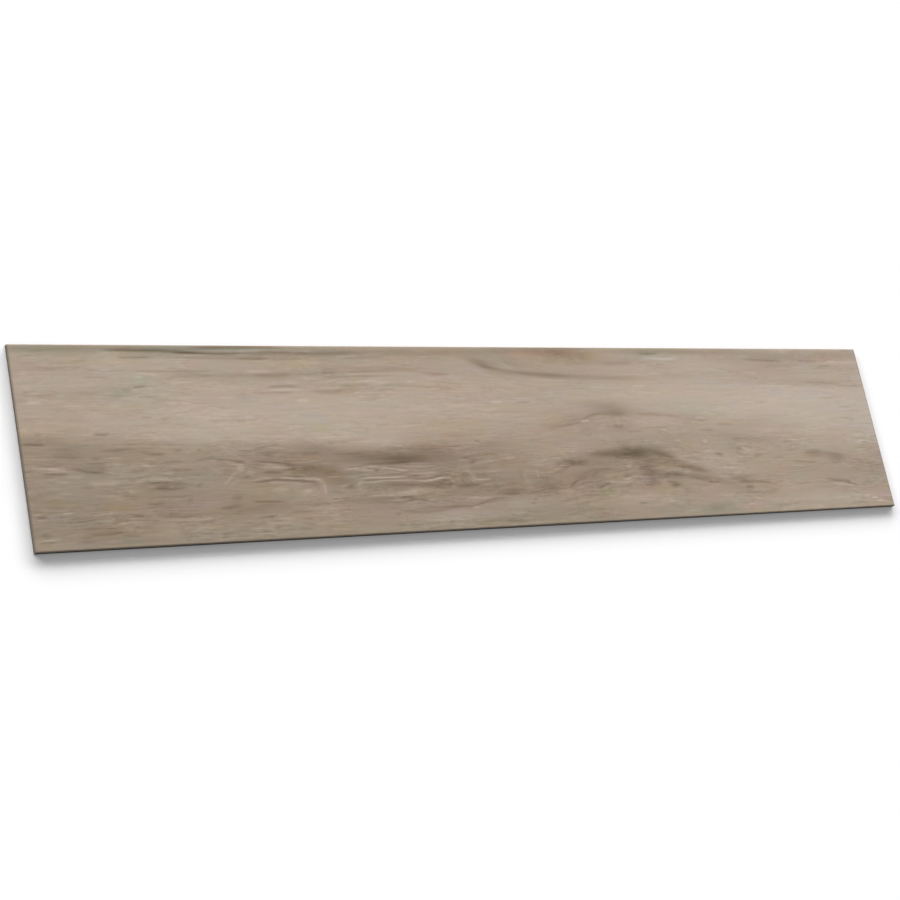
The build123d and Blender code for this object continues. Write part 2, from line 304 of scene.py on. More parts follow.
    ([(-475, 65.4), (-468, 65.6), (-460, 65.8)], 1.2, -0.38), ([(-464, 66), (-444, 66.4)], 0.9, -0.12),
    ([(-472, 30), (-458, 30)], 1.0, -0.24), ([(-448, 28), (-438, 28)], 1.0, -0.24),
    ([(-528, 12), (-511, 11.4)], 1.3, -0.36), ([(-522, -6.4), (-509, -6.4), (-496, -6)], 2.0, -0.09),
    ([(-478, -9), (-462, -12.5), (-448, -12)], 1.5, -0.14), ([(-439, -8.5), (-429, -7.5)], 1.4, -0.20),
    ([(-412, -8.5), (-406, -8.5)], 1.6, -0.20),
    ([(-456, -22), (-446, -19.8), (-430, -21.6)], 1.7, -0.14),
    ([(-480, -24.6), (-462, -24.8)], 0.9, 0.18), ([(-518, -15), (-498, -14.6)], 0.9, 0.18),
    ([(-600, -21.5), (-568, -22)], 1.0, -0.20), ([(-577, -11), (-560, -13.5), (-545, -13)], 1.0, -0.14),
    ([(-541, -20), (-518, -20.5)], 1.6, -0.20), ([(-535, -14.5), (-524, -16)], 1.8, -0.16),
    ([(-604, -77), (-592, -76.6)], 1.3, -0.26), ([(-606, -74), (-596, -74)], 0.9, 0.22),
    ([(-600, -95.5), (-590, -96)], 1.9, -0.20), ([(-604, -104), (-588, -105)], 1.0, -0.18),
    ([(-600, -102), (-585, -102)], 0.9, 0.16), ([(-550, -46), (-536, -46.5)], 1.8, -0.16),
    ([(-504, -53), (-498, -55)], 1.8, -0.18), ([(-506, -60.8), (-490, -61)], 0.8, -0.24),
    ([(-496, -79.6), (-484, -80.4)], 1.3, -0.26), ([(-502, -82), (-490, -82.4)], 0.9, 0.16),
    ([(-446, -83.6), (-432, -82.6), (-416, -84.6)], 1.4, -0.18),
    ([(-538, -56), (-518, -57.5), (-500, -58)], 1.0, 0.12), ([(-576, -74.6), (-560, -73)], 0.9, 0.20),
    ([(-556, -92), (-530, -91), (-508, -91)], 1.2, -0.12),
    ([(-548, -99), (-526, -98.5), (-506, -96.5)], 1.4, -0.16), ([(-560, -84), (-536, -82)], 1.0, -0.14),
    ([(-596, -66), (-570, -68), (-548, -68)], 1.0, -0.10), ([(-512, -101), (-492, -102)], 1.0, -0.20),
    ([(-440, 46), (-405, 46)], 1.3, 0.12), ([(-432, 43), (-400, 44)], 1.0, 0.10),
    ([(-555, 29), (-535, 28)], 0.9, -0.12), ([(-278, 47.3), (-263, 47.3)], 1.8, 0.20),
    ([(-560, 10), (-520, 8)], 1.2, -0.08), ([(-75, 43), (-52, 43)], 1.1, -0.10),
    ([(405, 38), (424, 38)], 1.6, -0.16), ([(522, 43), (545, 42.5)], 1.4, -0.10),
    ([(550, 14), (574, 13)], 1.5, -0.16), ([(566, 10), (576, 9.5)], 1.0, -0.20),
    ([(330, 9), (356, 8)], 1.6, -0.14), ([(235, 2.5), (245, 2.5)], 1.0, 0.18),
    ([(395, 80), (420, 79)], 1.4, 0.10), ([(14, -86), (20, -86.5)], 1.6, -0.24),
    ([(18, -81), (23, -83)], 1.8, -0.16), ([(175, -93), (188, -93)], 1.6, -0.22),
    ([(60, -82.5), (85, -82)], 1.3, -0.12), ([(-108, -104.5), (-100, -104)], 1.0, -0.24),
    ([(-540, 94.6), (-525, 96.4)], 1.1, -0.14), ([(-577, 90.6), (-546, 90.4)], 1.0, 0.10),
    ([(-180, -69.8), (-164, -69.2), (-150, -68.4)], 1.8, 0.13),
    ([(-66, -40), (-34, -39.4)], 2.5, -0.11), ([(470, -35.6), (484, -32.8), (502, -33.4)], 2.2, -0.13),
    ([(558, 60.4), (608, 59)], 1.4, -0.13), ([(440, 62.4), (505, 62.6)], 1.6, -0.07),
    ([(402, 72.6), (421, 72.2)], 1.3, -0.10), ([(-212, 98.4), (-182, 99.6), (-152, 99.4)], 1.2, -0.15),
    ([(-182, 103), (-166, 104.4), (-148, 104)], 1.1, 0.13), ([(-132, 69.8), (-116, 69.8)], 1.0, 0.13),
    ([(-539, -18.2), (-520, -18.6)], 0.9, 0.17), ([(-476, -16.6), (-461, -17)], 0.9, 0.15),
    ([(-609, -13.2), (-593, -13.8)], 0.9, 0.17), ([(-378, -5.6), (-342, -6), (-308, -5)], 2.2, -0.08),
    ([(-345, -8.6), (-325, -8.2)], 1.9, -0.13), ([(-332, -14), (-298, -14)], 1.6, -0.13),
    ([(-285, -15.6), (-274, -16.6), (-260, -14.4)], 1.8, -0.15),
    ([(-280, -10), (-252, -11), (-234, -12.6)], 1.6, -0.07), ([(-248, -17.4), (-203, -18)], 1.2, -0.11),
    ([(-184, -13.4), (-166, -12), (-148, -13)], 2.2, -0.12),
    ([(-234, -3.6), (-216, -1.2), (-198, 0)], 2.0, -0.08), ([(-379, 3.4), (-368, 4.2)], 2.4, -0.09),
    ([(-336, 1.6), (-314, 3)], 1.4, -0.09), ([(-183, 15.2), (-172, 16.4), (-161, 18)], 1.2, -0.10),
    ([(-177, 26), (-163, 25.4)], 1.4, -0.08), ([(-359, 23), (-347, 23.2)], 1.0, -0.10),
    ([(-291, 29), (-281, 29.4)], 1.2, 0.12), ([(-27, -106.6), (-13, -105.6)], 1.5, -0.14),
    ([(-12, -28.8), (2, -28.8)], 0.9, 0.14), ([(220, -56), (240, -56.6), (262, -59)], 2.0, -0.12),
    ([(350, -12.6), (360, -14.6), (370, -15.6)], 2.2, -0.10),
    ([(-600, 60.6), (-586, 60.6)], 1.3, -0.13), ([(-487, 62.2), (-476, 60)], 2.0, -0.12),
    ([(-468, -12.2), (-452, -12)], 0.9, -0.16), ([(-560, -101), (-545, -101.4)], 1.2, -0.14),
    ([(-528, -105.8), (-512, -106.2)], 1.1, 0.14), ([(-560, -106), (-543, -105.6)], 1.1, -0.16),
    ([(-570, -96.8), (-552, -97)], 1.0, 0.14), ([(-577, -39.8), (-560, -40.4)], 1.1, 0.14),
    ([(-578, -52.6), (-560, -52.8)], 1.0, 0.14), ([(-176, -91.4), (-170, -91)], 1.4, -0.22),
    ([(82, -40.6), (98, -40.8), (114, -40.2)], 1.5, -0.10),
    ([(112, -43), (134, -44.4), (160, -44.6)], 1.2, 0.10),
    ([(148, -31.6), (176, -33), (206, -32.6)], 1.6, -0.12),
    ([(-182, -30.6), (-150, -30.2), (-118, -31)], 1.5, -0.06),
    ([(-262, -40), (-248, -38), (-236, -40)], 1.6, -0.08),
    ([(-256, -61), (-246, -64), (-238, -63)], 1.8, -0.14), ([(-246, -70), (-236, -72)], 1.6, -0.14),
    ([(-237, -36), (-230, -37), (-224, -36)], 1.1, 0.16), ([(-248, -56.4), (-236, -54.6)], 1.2, 0.14),
    ([(552, 30), (576, 29.4)], 1.4, -0.08), ([(480, 22), (500, 21)], 1.3, 0.08),
    ([(528, 12), (548, 12.4)], 1.1, -0.10), ([(112, -28.2), (134, -27.6), (160, -27)], 3.8, -0.08),
    ([(-604, 30), (-584, 30.6)], 1.0, -0.10), ([(-598, 72), (-578, 72.4)], 1.0, -0.12),
    ([(-560, 44), (-536, 44.6)], 1.0, 0.10), ([(-604, 101), (-582, 101.4)], 1.1, -0.12),
    ([(-600, 92), (-580, 92)], 1.0, -0.10), ([(150, 24.6), (168, 23.4), (186, 24.6)], 1.4, -0.10),
]

# A figure line fades over this share of its length at each end, and has come this far in its
# fade where it ends
line_fade = 0.36
line_end = 0.35

# Curls are parts of rings round a knot or an eye of the grain: middle, radii, the half
# width, the change of tone, and the angles in degrees that the arc runs between
curls = [
    (-71, -53, 7.5, 6.5, 1.8, -0.11, 20, 330), (-73, -51, 11, 8.5, 1.5, 0.15, -20, 110),
    (-84, -46, 6, 4, 1.4, 0.12, 20, 200), (-101, -57.5, 10.5, 7.5, 1.5, 0.20, -55, 88),
    (-272, -57.5, 10, 10.5, 1.6, 0.23, -46, 95), (-279, -59.5, 8, 10, 1.8, -0.12, -10, 92),
    (-212, -57.5, 7, 6, 1.8, 0.17, 80, 250), (-234, -60, 7, 5, 1.6, 0.10, 60, 240),
    (-363, -30, 2.2, 2.0, 2.4, 0.24, 0, 360), (-351, -35.5, 3.4, 1.4, 1.8, 0.20, 0, 360),
    (16, -52, 3.5, 6.5, 1.6, 0.13, 60, 300), (28, -50, 3.5, 8.5, 1.4, 0.12, -90, 90),
    (10, -50, 4, 10, 1.4, -0.08, 100, 260), (304, -14.5, 2.6, 1.6, 1.4, 0.18, 0, 360),
    (303, -14, 7, 4, 1.4, -0.12, 180, 360), (-587, 8, 4, 5, 1.2, 0.14, -60, 120),
    (-590, 8, 6, 6, 1.2, -0.10, -60, 120), (174, 14, 4.5, 4.5, 1.3, 0.16, 110, 260),
]

# The degrees over which a curl fades at each end
curl_fade = 25

# Tints: middle, reach along and across, how far towards rose (below nought, green) and how
# far towards warm (below nought, cool)
tints = [
    (62, 104.5, 50, 5, 1.4, 1.2), (120, 106, 34, 6, 0.6, 0.8), (-465, 74, 14, 6, -1.1, -0.7),
    (-265, 92, 12, 4, -0.5, 0.9), (-200, 93, 18, 3.5, -0.5, 1.0), (-316, 92, 12, 4, -0.5, 0.3),
    (-400, 93, 14, 4, 0.7, 0.5), (-570, 107, 26, 3, -0.7, 0.8), (-505, 86, 20, 4, 0.6, -0.6),
    (-492, 58, 16, 6, -0.6, 0.0), (-510, -70, 13, 3, 0.0, 1.6), (-590, -60, 16, 7, -0.3, 0.9),
    (-570, -65, 10, 5, -0.2, 1.0), (-545, -106, 20, 5, 0.7, -0.7), (-505, -106, 16, 4, -0.6, -0.6),
    (-530, -32, 30, 3, -0.7, -0.6), (-590, -40, 16, 6, 0.4, -0.7), (-410, -96, 20, 6, -0.2, 0.7),
    (-249, -105, 11, 3, -0.6, 1.8), (450, -67, 14, 6, -1.0, 0.4), (462, -46, 12, 2.5, -1.3, 0.8),
    (425, -54, 18, 8, 0.7, 0.3), (572, -28, 14, 6, -0.6, 0.9), (538, -14, 26, 6, 0.6, 0.3),
    (355, -103, 20, 4, 1.2, 0.3), (595, -97, 12, 6, 0.9, -0.8), (-5, -85, 17, 7, -0.9, 0.1),
    (20, 88, 30, 10, -0.5, -0.1), (165, -105, 18, 4, 0.4, 0.8), (-80, 106, 30, 4, 0.6, 0.5),
    (100, 97, 20, 4, -0.6, 0.5), (-10, 107, 20, 6, -0.4, 0.4), (-400, 109, 110, 4, -1.0, -1.2),
    (-560, 108, 60, 6, -0.4, -0.4), (-470, 62, 40, 18, -0.4, -0.4), (-385, 84, 40, 10, -0.3, -0.4),
    (-250, 90, 80, 8, 0.0, 0.4), (250, 92, 60, 10, 0.3, -0.2), (350, 106, 40, 8, 0.4, 0.2),
    (255, 104, 40, 6, -0.6, -0.2), (500, 52, 70, 12, 0.1, -0.5), (560, 102, 50, 8, 0.4, 0.3),
    (450, 84, 50, 12, 0.3, -0.3), (60, 20, 30, 10, -0.2, 0.4), (150, 60, 80, 30, -0.1, -0.2),
    (-70, 14, 40, 9, -0.2, 0.6), (-120, -10, 30, 5, -0.1, 0.6), (-275, -20, 25, 5, 0.3, 0.8),
    (-272, -36, 34, 8, 0.0, 0.7), (-130, -24, 18, 5, 0.0, 0.7), (-155, -38, 14, 5, 0.6, -0.6),
    (-112, -30, 12, 5, 0.4, -0.4), (-214, -46, 13, 8, -0.9, -0.1), (-170, -58, 12, 4, 0.6, 0.1),
    (-100, -92, 60, 8, 0.2, -0.8), (-408, -38, 18, 9, -0.7, -0.5), (-420, -30, 10, 5, 0.6, -0.5),
    (-460, -36, 26, 8, -0.5, -0.5), (-345, -60, 34, 11, -0.6, 1.2), (-288, -60, 13, 5, -0.5, 0.8),
    (-265, -72, 24, 9, 0.6, 0.0), (-245, -64, 8, 5, -0.7, 0.0), (-560, -88, 50, 12, -0.3, -0.3),
    (-540, -96, 26, 4, 0.2, 0.1), (88, -60, 32, 16, 0.6, 0.3), (128, -77, 12, 6, -2.0, 1.5),
    (148, -56, 16, 5, -0.5, 1.5), (188, -25, 26, 7, -0.6, -0.4), (130, -27, 18, 4, 0.4, 0.5),
    (199, -62, 16, 18, 0.7, -0.6), (222, -76, 16, 9, -0.7, 0.9), (192, -84, 18, 5, 1.0, 0.0),
    (300, -80, 40, 8, 0.6, 0.0), (278, -19, 14, 6, -0.3, 0.8), (322, -18, 14, 6, -0.4, 0.9),
    (75, -24, 16, 8, -0.4, 0.6), (105, -14, 20, 6, 0.4, 0.0), (262, -44, 26, 6, -0.2, 0.5),
    (300, -103, 30, 6, -0.6, -0.9), (-6, -90, 30, 10, -0.3, -0.3), (370, -102, 24, 5, 0.5, -0.3),
    (395, -36, 55, 22, -0.3, 0.5), (500, -40, 50, 10, 0.2, 0.1), (480, -8, 60, 12, 0.3, 0.0),
    (588, -75, 14, 8, -0.7, -0.5), (-245, -46, 16, 8, 0.1, 0.8), (150, 101, 18, 8, -0.2, 0.9),
    (-8, 18, 18, 6, -0.2, 0.7), (74, 18, 12, 8, -0.3, 0.8), (50, 4, 30, 5, 0.5, 0.2),
    (320, 30, 60, 10, -0.6, 0.0), (410, 24, 40, 10, 0.2, -0.4), (-260, 22, 30, 9, -0.3, -0.5),
    (-256, 15, 12, 4, -0.5, 1.2), (485, -36, 14, 5, 0.6, 0.5), (524, -42, 14, 6, -0.5, -0.2),
    (100, -98, 13, 4, -1.0, 0.4), (130, -104, 24, 3.5, 1.0, 0.2), (234, -44, 18, 8, -0.5, 0.6),
    (361, -79, 8, 4, 0.5, 0.3), (-519, 11.6, 10, 3, -0.8, -0.4), (-468, 99.6, 20, 3, -0.6, -0.3),
    (-530, -54, 60, 26, -0.25, -0.1), (-560, -8, 24, 10, -0.4, -0.1), (307, 14, 10, 4, -0.5, -0.3),
    (-430, -12, 50, 9, -0.4, 0.3), (-370, 8, 60, 9, -0.2, 0.4), (-320, 30, 60, 12, 0.1, -0.4),
    (-322, -30, 18, 4, 0.6, -0.5), (-420, -72, 30, 8, 0.3, -0.4), (-500, 94, 50, 7, -0.3, 0.4),
    (-150, -62, 80, 16, -0.2, 0.1), (-58, -33, 6, 3, 0.9, -0.4), (0, 107, 800, 9, -0.5, -0.2),
    (0, -106, 800, 11, -0.5, -0.3), (590, -10, 44, 60, 0.0, -0.65), (520, -32, 40, 30, -0.1, -0.4),
    (490, 0, 40, 10, -0.5, 0.0), (470, 90, 90, 14, -0.1, -0.4), (-475, 36, 90, 30, -0.1, 0.4),
    (-125, 86, 60, 18, 0.1, 0.4), (115, 92, 90, 16, 0.0, 0.45), (-348, -50, 26, 14, 0.0, -0.55),
    (285, 26, 40, 24, 0.1, -0.4), (-565, -42, 50, 22, 0.0, -0.4), (285, -70, 40, 16, -0.2, 0.35),
    (402, 0, 30, 10, 0.0, 0.4), (470, 60, 30, 10, 0.0, 0.45), (0, -42, 30, 10, 0.2, 0.4),
    (-174, 20, 35, 10, -0.1, 0.35), (-75, -18, 55, 12, 0.45, 0.0), (-60, 20, 30, 8, 0.4, 0.0),
]

# Colours of the finishes, as linear red, green and blue


def linear(red, green, blue):
    """A colour as linear light, from its screen values of 0 to 255."""
    screen = np.array([red, green, blue]) / 255
    return tuple(np.where(screen <= 0.04045, screen / 12.92, ((screen + 0.055) / 1.055) ** 2.4)) + (1.0,)


# Numbers that vary over the sheet


def lattice_noise(u, v, seed):
    """Smooth noise of mean nought: random heights on a unit lattice, blended between the four
    nearest knots with the weight 3t squared less 2t cubed."""
    knots = 256
    heights = np.random.default_rng(seed).uniform(-1.0, 1.0, (knots, knots))
    left = np.floor(u).astype(int)
    below = np.floor(v).astype(int)
    s = u - left
    t = v - below
    s = s * s * (3 - 2 * s)
    t = t * t * (3 - 2 * t)

    def along_row(row):
        """The heights between the knots of one row."""
        return (1 - s) * heights[left % knots, row % knots] + s * heights[(left + 1) % knots, row % knots]

    return (1 - t) * along_row(below) + t * along_row(below + 1)


def bell(distance):
    """The bell curve: e to the power of minus the distance squared."""
    return np.exp(-distance ** 2)


def patch(x, y, middle_x, middle_y, along, over):
    """One at the middle, falling off as a bell curve both along and across."""
    return bell((x - middle_x) / along) * bell((y - middle_y) / over)


def ease(value):
    """Nought below 0, one above 1, and a smooth S between."""
    held = np.clip(value, 0.0, 1.0)
    return held * held * (3 - 2 * held)


def smooth_through(x, points):
    """The height at x of a line through the points, its corners rounded off by averaging the
    straight line between them over a short stretch."""
    xs, ys = zip(*points)
    reach = 7.0
    shifts = np.linspace(-reach, reach, 7)
    return sum(np.interp(x + shift, xs, ys) for shift in shifts) / len(shifts)


def grain_coordinates(x, y):
    """Where a point of the face lies in the unbent wood: x along, and across it y less the
    growth hills, each a bell curve both ways. The grain also wanders, and right of the middle
    it falls by 20 mm in a strip near the far rim."""
    wander = 1.6 * lattice_noise(x / 120 + 9, y / 30 + 5, 11)
    waver = 1.3 * lattice_noise(x / 20 + 2, y / 8 + 6, 12)
    fall = 20 * ease((x + 45) / 130) * bell((y - 88) / 24)
    across = y + wander + waver + fall
    for middle_x, middle_y, along, over, lift in growth_hills:
        across = across - lift * patch(x, y, middle_x, middle_y, along, over)
    return x, across


def band_tone(x, y):
    """The two broad bands of the print: pale above, brown below, each with its own level
    along the plank, joined across a wavering border that grows softer to the right."""
    brown = smooth_through(x, [(-610, 0.50), (-420, 0.50), (-250, 0.48), (-60, 0.52), (120, 0.54),
                               (300, 0.66), (420, 0.70), (610, 0.68)])
    pale = smooth_through(x, [(-610, 0.78), (-400, 0.83), (-200, 0.85), (0, 0.81), (180, 0.83),
                              (330, 0.89), (480, 0.93), (610, 0.92)])
    border = smooth_through(x, [(-610, 6), (-450, 4), (-330, -4), (-180, -9), (-90, -6), (0, -14),
                                (60, -28), (120, -22), (200, -8), (300, 2), (400, -6), (610, -22)])
    softness = smooth_through(x, [(-610, 34), (-450, 30), (-330, 18), (-180, 16), (-90, 34), (0, 52),
                                  (60, 64), (200, 58), (400, 62), (610, 52)])
    wander = 5 * lattice_noise(x / 90 + 3, y / 40, 21)
    return brown + (pale - brown) * ease((y - border - wander) / softness + 0.5)


def drawn_tone(x, y):
    """What is drawn over the bands: smudges as tilted bell curves, figure lines as bells about
    a smooth line that taper to both ends, and curls as bells about part of an ellipse."""
    tone = np.zeros_like(x)
    for middle_x, middle_y, along, over, rise, change in smudges:
        centre = middle_y + rise * (x - middle_x)
        tone += change * patch(x, y, middle_x, centre, along, over)
    for points, half_thick, change in figure_lines:
        start = points[0][0]
        end = points[-1][0]
        taper = line_fade * (end - start)
        fade = ease((x - start) / taper + line_end) * ease((end - x) / taper + line_end)
        thick = half_thick * (0.5 + 0.5 * fade)
        tone += change * fade * bell((y - smooth_through(x, points)) / thick)
    for middle_x, middle_y, along, over, half_thick, change, begin, finish in curls:
        reach_x = (x - middle_x) / along
        reach_y = (y - middle_y) / over
        angle = (np.degrees(np.arctan2(reach_y, reach_x)) - begin) % 360
        sweep = finish - begin
        fade = 1.0 if sweep >= 360 else ease(angle / curl_fade) * ease((sweep - angle) / curl_fade)
        gap = (np.hypot(reach_x, reach_y) - 1) * (along + over) / 2
        tone += change * fade * bell(gap / half_thick)
    return tone


def figure_strength(x, y):
    """How plainly the growth lines show: faint in the pale band and to the right, stronger on
    each growth hill by its lift, and in patches all over."""
    calm = smooth_through(x, [(-610, 1.06), (-440, 0.98), (-300, 1.06), (-200, 1.06), (-90, 0.80),
                              (20, 0.76), (160, 0.80), (250, 0.74), (330, 0.78), (450, 0.66), (610, 0.92)])
    strength = (0.55 + 0.45 * ease((8 - y) / 30)) * calm
    for middle_x, middle_y, along, over, lift in growth_hills:
        strength = strength + 0.01 * abs(lift) * patch(x, y, middle_x, middle_y, along, over)
    patches = 0.32 + 1.05 * ease(0.5 + 1.1 * lattice_noise(x / 42 + 1, y / 13 + 7, 61))
    return np.clip(strength * patches, 0.0, 1.3)


def print_tints(x, y):
    """The slight tints of the print: one towards rose or green, and one towards warm or cool,
    each broad and fine noise with the drawn tints added as bell curves."""
    rose = 0.26 * lattice_noise(x / 48 + 31, y / 14 + 8, 41)
    rose += 0.30 * lattice_noise(x / 15, y / 6, 42)
    warm = 0.44 * lattice_noise(x / 70 + 5, y / 16 + 2, 43)
    warm += 0.48 * lattice_noise(x / 18 + 8, y / 6, 44)
    for middle_x, middle_y, along, over, to_rose, to_warm in tints:
        reach = patch(x, y, middle_x, middle_y, along, over)
        rose = rose + to_rose * reach
        warm = warm + to_warm * reach
    return rose, warm


def embossing(along, across, tone):
    """How deep the plate has pressed the wear layer, from 0 to 1: long hollows, fine grooves
    and ticks that follow the grain, deeper where something dark is drawn."""
    hollow = 0.5 + 0.5 * lattice_noise(along / 85, across / 7, 51)
    groove = ease(1.6 * lattice_noise(along / 26 + 4, across / 1.9, 52))
    tick = ease(2.2 * lattice_noise(along / 11 + 7, across / 1.7 + 3, 53) - 0.7)
    drawn = np.clip(-2.0 * tone, 0.0, 1.0)
    return np.clip(0.30 * hollow + 0.30 * groove + 0.25 * tick + 0.25 * drawn, 0.0, 1.0)


# The plank: the finish that each polygon takes, in the order that build_plank gives them
face_slot, bevel_slot, side_slot, back_slot, end_slot = range(5)


def face_lines(half, divisions, figure):
    """Grid lines across one way of the face: a few from each rim to the foot of its bevel, and
    between the feet steps whose size is one over a density, which is higher over the figure."""
    samples = 4001
    inner = half - bevel_width
    rim = np.linspace(half, inner, bevel_steps + 1)[:-1]
    places = np.linspace(-inner, inner, samples)
    begins, ends, closer = figure
    past_begin = ease((places - begins) / figure_border + 0.5)
    before_end = ease((ends - places) / figure_border + 0.5)
    density = 1 + closer * past_begin * before_end
    share = np.concatenate([[0.0], np.cumsum(density[1:] + density[:-1])])
    steps = np.linspace(0.0, share[-1], divisions - 2 * bevel_steps + 1)
    return np.concatenate([-rim, np.interp(steps, share, places), rim[::-1]])


def grid_quads(at):
    """The four corners of each cell of a grid of point numbers, turning left as seen from the
    side where its first way runs right and its second runs up."""
    return np.stack([at[:-1, :-1], at[1:, :-1], at[1:, 1:], at[:-1, 1:]], axis=-1).reshape(-1, 4)


def shell_polygons(columns, rows):
    """The polygons of the plank by their points' numbers, and the finish of each: the face and
    the back are grids, a wall of quads runs down each long side, and each end is one polygon."""
    face_at = np.arange(columns * rows).reshape(columns, rows)
    back_at = columns * rows + np.arange(columns * back_rows).reshape(columns, back_rows)
    face = grid_quads(face_at)
    back = grid_quads(back_at)[:, ::-1]
    front_wall = grid_quads(np.stack([back_at[:, 0], face_at[:, 0]], axis=1))
    rear_wall = grid_quads(np.stack([face_at[:, -1], back_at[:, -1]], axis=1))
    left_wall = list(face_at[0, ::-1]) + list(back_at[0, :])
    right_wall = list(face_at[-1, :]) + list(back_at[-1, ::-1])
    polygons = np.concatenate([face, back, front_wall, rear_wall]).tolist()
    polygons += [left_wall, right_wall]
    on_rim = np.ones((columns - 1, rows - 1), bool)
    on_rim[bevel_steps:-bevel_steps, bevel_steps:-bevel_steps] = False
    slots = np.concatenate([
        np.where(on_rim.ravel(), bevel_slot, face_slot),
        np.full(len(back), back_slot),
        np.full(len(front_wall) + len(rear_wall), side_slot),
        [end_slot, end_slot],
    ])
    return polygons, slots


def plank_shell(name):
    """The plank as one closed shell. The walked-on face is a grid whose height is the
    thickness less the embossing and less the bevel, which rolls over as the square of the way
    from its foot to the rim. Walls drop from the rim to the floor, and the back is a flat grid."""
    xs = face_lines(half_length, face_columns, figure_along)
    ys = face_lines(half_width, face_rows, figure_across)
    x, y = np.meshgrid(xs, ys, indexing="ij")
    x_mm = x / mm
    y_mm = y / mm
    along, across = grain_coordinates(x_mm, y_mm)
    drawn = drawn_tone(x_mm, y_mm)
    from_rim = np.minimum(half_length - np.abs(x), half_width - np.abs(y))
    on_bevel = np.clip(1 - from_rim / bevel_width, 0.0, 1.0)
    pressed = emboss_depth * embossing(along, across, drawn)
    pressed *= ease((from_rim - bevel_width) / emboss_fade)
    z = thickness - bevel_depth * on_bevel ** 2 - pressed
    face_points = np.stack([x, y, z], axis=-1).reshape(-1, 3)
    back_ys = np.linspace(-half_width, half_width, back_rows)
    back_x, back_y = np.meshgrid(xs, back_ys, indexing="ij")
    back_points = np.stack([back_x, back_y, np.zeros_like(back_x)], axis=-1).reshape(-1, 3)
    points = np.concatenate([face_points, back_points])
    polygons, slots = shell_polygons(len(xs), len(ys))

    mesh = bpy.data.meshes.new(name)
    mesh.from_pydata(points.tolist(), [], polygons)
    mesh.polygons.foreach_set("material_index", slots.astype(np.int32))
    mesh.polygons.foreach_set("use_smooth", np.ones(len(polygons), bool))
    mesh.set_sharp_from_angle(angle=sharp_turn)

    def store(label, on_face, on_back):
        """Keeps one number for each point: the face's, then the same one all over the back."""
        values = np.concatenate([on_face.ravel(), np.full(len(back_points), on_back)])
        layer = mesh.attributes.new(label, "FLOAT", "POINT")
        layer.data.foreach_set("value", values.astype(np.float32))

    store("print_tone", band_tone(x_mm, y_mm) + drawn, 0.5)
    rose, warm = print_tints(x_mm, y_mm)
    store("print_rose", rose, 0.0)
    store("print_warm", warm, 0.0)
    store("print_figure", figure_strength(x_mm, y_mm), 0.0)
    flow = np.stack([along, across, np.zeros_like(x)], axis=-1).reshape(-1, 3)
    back_flow = back_points / mm
    layer = mesh.attributes.new("grain_flow", "FLOAT_VECTOR", "POINT")
    layer.data.foreach_set("vector", np.concatenate([flow, back_flow]).astype(np.float32).ravel())
    mesh.validate()
    mesh.update()
    plank = bpy.data.objects.new(name, mesh)
    bpy.context.scene.collection.objects.link(plank)
    return plank


# Node helpers


def wire(tree, made, inputs):
    """Sets a node's inputs by name or number: a socket is linked, anything else is a value."""
    for key, value in inputs.items():
        if isinstance(value, bpy.types.NodeSocket):
            tree.links.new(value, made.inputs[key])
        else:
            made.inputs[key].default_value = value
    return made


def add_node(tree, kind, inputs=None, **settings):
    """A node with its settings and its inputs."""
    made = tree.nodes.new(kind)
    for key, value in settings.items():
        setattr(made, key, value)
    return wire(tree, made, inputs or {})


def calculate(tree, operation, first, second=0.0, third=0.0, clamp=False):
    """One sum on two or three numbers."""
    made = add_node(tree, "ShaderNodeMath", {0: first, 1: second, 2: third}, operation=operation)
    made.use_clamp = clamp
    return made.outputs[0]


def read_attribute(tree, name, output="Fac"):
    """What the mesh keeps at each point under a name."""
    made = add_node(tree, "ShaderNodeAttribute", attribute_name=name, attribute_type="GEOMETRY")
    return made.outputs[output]


def blend_colours(tree, factor, first, second, way="MIX"):
    """Two colours mixed, or multiplied, by a factor."""
    made = add_node(tree, "ShaderNodeMix", data_type="RGBA", blend_type=way)
    wire(tree, made, {0: factor, 6: first, 7: second})
    return made.outputs[2]


def colour_ramp(tree, factor, stops):
    """A ramp through the given places and colours."""
    made = add_node(tree, "ShaderNodeValToRGB", {0: factor})
    ramp = made.color_ramp
    while len(ramp.elements) < len(stops):
        ramp.elements.new(0.5)
    for element, (place, colour) in zip(ramp.elements, stops):
        element.position = place
        element.color = colour
    return made.outputs[0]


def press_in(tree, height, strength, depth):
    """The surface's direction where a height is pressed into it."""
    values = {"Height": height, "Strength": strength, "Distance": depth}
    return add_node(tree, "ShaderNodeBump", values).outputs[0]


def swing(tree, noise):
    """Noise of 0 to 1 made to swing about nought, from -1 to 1."""
    return calculate(tree, "MULTIPLY_ADD", noise, 2.0, -1.0)


def new_group(name, inputs, outputs):
    """An empty group with named inputs, each a kind and a value, and named outputs."""
    group = bpy.data.node_groups.new(name, "ShaderNodeTree")
    for label, (kind, value) in inputs.items():
        socket = group.interface.new_socket(label, in_out="INPUT", socket_type=kind)
        if value is not None:
            socket.default_value = value
    for label, kind in outputs.items():
        group.interface.new_socket(label, in_out="OUTPUT", socket_type=kind)
    return group, group.nodes.new("NodeGroupInput").outputs, group.nodes.new("NodeGroupOutput")


def place_group(tree, group, inputs):
    """The outputs of a group placed in a tree with its inputs."""
    return add_node(tree, "ShaderNodeGroup", inputs, node_tree=group).outputs


